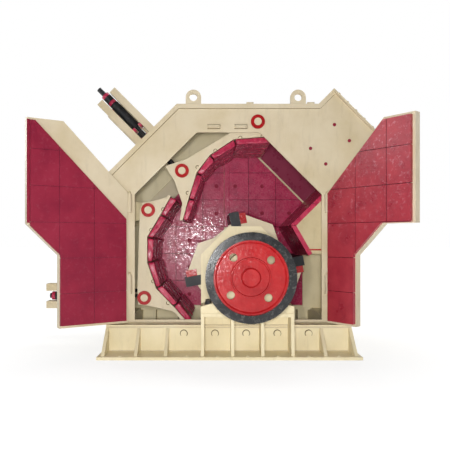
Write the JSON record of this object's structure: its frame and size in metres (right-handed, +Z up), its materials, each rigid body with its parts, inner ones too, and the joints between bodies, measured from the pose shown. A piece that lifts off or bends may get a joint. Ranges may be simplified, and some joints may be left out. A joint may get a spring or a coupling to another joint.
{
  "type": "impact crusher",
  "caption": "Horizontal shaft impact crusher in a welded plate housing, with lined swing doors, a rotor with blow bars, hinged aprons, spring adjusters and a belt pulley.",
  "frame": {"origin": "on the floor under the middle of the housing", "axes": "+X to the feed end, +Y away from the drive side, +Z up"},
  "size_m": [3.229, 2.31, 2.4917],
  "materials": {
    "cream_paint": "semi-gloss enamel",
    "crimson_liner": "brushed gloss enamel",
    "red_paint": "gloss enamel",
    "black_steel": "satin black paint",
    "black_iron": "gloss black paint",
    "bright_steel": "turned"
  },
  "bodies": {
    "root": {"base_frame_near": "cream_paint", "base_frame_far": "cream_paint", "base_ribs": "cream_paint", "base_cross_members": "cream_paint", "near_wall": "cream_paint", "far_wall": "cream_paint", "left_wall": "cream_paint", "right_wall": "cream_paint", "roof_left_slope": "cream_paint", "roof_top": "cream_paint", "feed_flange": "cream_paint", "feed_floor": "cream_paint", "feed_wedge": "cream_paint", "feed_liners": "crimson_liner", "shaft_plates": "cream_paint", "bearing_blocks": "cream_paint", "far_doors": "cream_paint", "far_door_liners": "crimson_liner", "lifting_lugs": "cream_paint", "door_hinge_brackets": "cream_paint", "pivot_shafts": "cream_paint", "pivot_collars": "red_paint", "secondary_pivot_brackets": "cream_paint", "adjuster_brackets": "cream_paint", "adjuster_springs": "black_steel"},
    "rotor": {"rotor_shaft": "bright_steel", "rotor_discs": "cream_paint", "blow_bars": "black_steel", "bar_wedges": "red_paint", "pulley_rim": "black_iron", "pulley_web": "red_paint"},
    "left_door": {"left_door_plate": "cream_paint", "left_door_liners": "crimson_liner", "left_door_hinges": "cream_paint"},
    "right_door": {"right_door_plate": "cream_paint", "right_door_liners": "crimson_liner", "right_door_hinges": "cream_paint"},
    "primary_apron": {"primary_apron_frame": "cream_paint", "primary_apron_liners": "crimson_liner", "primary_apron_collars": "red_paint"},
    "secondary_apron": {"secondary_apron_frame": "cream_paint", "secondary_apron_liners": "crimson_liner", "secondary_apron_collars": "red_paint"},
    "primary_rods": {"primary_rods": "black_steel"},
    "secondary_rods": {"secondary_rods": "black_steel"}
  },
  "joints": [
    {"name": "left_door_swing", "type": "hinge", "parent": "root", "child": "left_door", "pos_m": [-0.905, -0.575, 1], "axis": [0, 0, -1], "range_deg": [-148.5, 21.5]},
    {"name": "right_door_swing", "type": "hinge", "parent": "root", "child": "right_door", "pos_m": [0.905, -0.575, 1], "axis": [0, 0, 1], "range_deg": [-129, 41]},
    {"name": "rotor_spin", "type": "hinge", "parent": "root", "child": "rotor", "pos_m": [0.155, 0, 0.718], "axis": [0, -1, 0], "continuous": true},
    {"name": "primary_apron_swing", "type": "hinge", "parent": "root", "child": "primary_apron", "pos_m": [0.272, 0, 2.097], "axis": [0, 1, 0], "range_deg": [0, 2]},
    {"name": "secondary_apron_swing", "type": "hinge", "parent": "root", "child": "secondary_apron", "pos_m": [-0.745, 0, 1.29], "axis": [0, 1, 0], "range_deg": [0, 4]},
    {"name": "primary_rod_pivot", "type": "hinge", "parent": "primary_apron", "child": "primary_rods", "pos_m": [-0.43, 0, 1.656], "axis": [0, 1, 0], "range_deg": [-2.8, 0.1]},
    {"name": "secondary_rod_pivot", "type": "hinge", "parent": "secondary_apron", "child": "secondary_rods", "pos_m": [-0.781, 0, 0.471], "axis": [0, 1, 0], "range_deg": [-4.8, 0.1]}
  ],
  "couplings": [
    {"joint": "primary_rod_pivot", "follows": "primary_apron_swing", "ratio": -1.334},
    {"joint": "secondary_rod_pivot", "follows": "secondary_apron_swing", "ratio": -1.1587}
  ]
}
